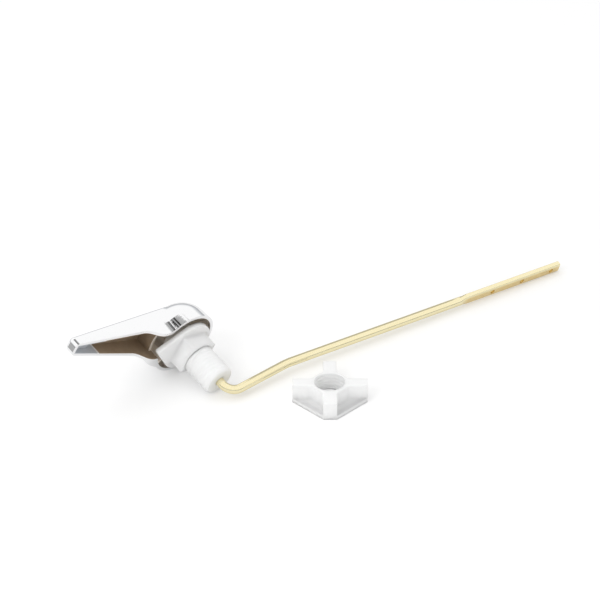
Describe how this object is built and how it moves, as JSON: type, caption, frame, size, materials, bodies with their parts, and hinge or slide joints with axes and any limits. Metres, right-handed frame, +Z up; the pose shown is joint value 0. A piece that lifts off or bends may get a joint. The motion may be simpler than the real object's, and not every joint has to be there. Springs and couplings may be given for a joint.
{
  "type": "cistern lever",
  "caption": "Cistern flush lever with a chrome handle, a white threaded bushing, a bent brass arm with chain holes and a loose white winged nut.",
  "frame": {"origin": "on the spindle axis, where the threaded barrel leaves the square shank", "axes": "+X along the first run of the arm, +Y level and away from the barrel, towards the handle, +Z up, as the lever lies on a table"},
  "size_m": [0.2828, 0.1048, 0.0469],
  "materials": {
    "chrome": "polished chrome plate, bare casting inside",
    "white_plastic": "smooth white moulding",
    "brass": "polished"
  },
  "bodies": {
    "fitting": {"bushing": "white_plastic", "mounting_nut": "white_plastic"},
    "lever": {"handle": "chrome", "arm": "brass"}
  },
  "joints": [
    {"name": "lever_pivot", "type": "hinge", "parent": "fitting", "child": "lever", "pos_m": [0, 0, 0], "axis": [0, -0.9413, -0.3376], "range_deg": [0, 28]}
  ]
}
